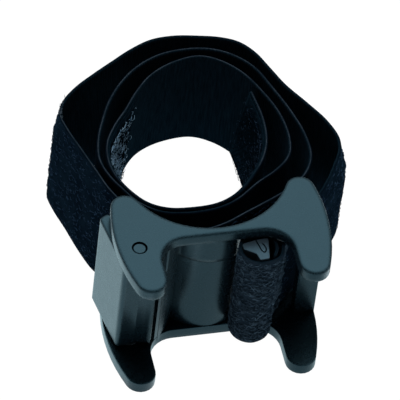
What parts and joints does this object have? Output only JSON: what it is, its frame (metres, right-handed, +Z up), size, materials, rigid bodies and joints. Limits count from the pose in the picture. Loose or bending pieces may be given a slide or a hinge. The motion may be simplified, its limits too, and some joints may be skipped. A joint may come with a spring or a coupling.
{
  "type": "limb tourniquet",
  "caption": "Limb tourniquet: moulded two-plate buckle with a toothed cam release lever, and a coiled hook-and-loop strap wound on an anchor pin.",
  "frame": {"origin": "middle of the narrow bridge of the lower plate, on the buckle's flat underside", "axes": "+X across the buckle towards the strap anchor, +Y from the buckle into the coiled strap, +Z up from the underside"},
  "size_m": [0.0838, 0.1046, 0.048],
  "materials": {
    "housing_plastic": "smooth, semi-matt, blue-grey",
    "steel": "plain",
    "webbing": "woven, loop pile outside",
    "hook_tape": "hook tape",
    "thread": "sewn"
  },
  "bodies": {
    "buckle_and_strap": {"lower_housing": "housing_plastic", "upper_housing": "housing_plastic", "jaw_grip_strip": "housing_plastic", "pivot_pin": "housing_plastic", "pivot_washer": "steel", "lever_spring": "steel", "anchor_pin": "housing_plastic", "housing_screw_jaw": "steel", "housing_screw_wall": "steel", "strap": "webbing", "hook_patch": "hook_tape", "patch_seam_upper": "thread", "patch_seam_lower": "thread"},
    "cam_lever": {"release_lever": "housing_plastic"}
  },
  "joints": [
    {"name": "lever_pivot", "type": "hinge", "parent": "buckle_and_strap", "child": "cam_lever", "pos_m": [-0.0261, -0.0033, 0.024], "axis": [0, 0, 1], "range_deg": [-15, 3]}
  ]
}
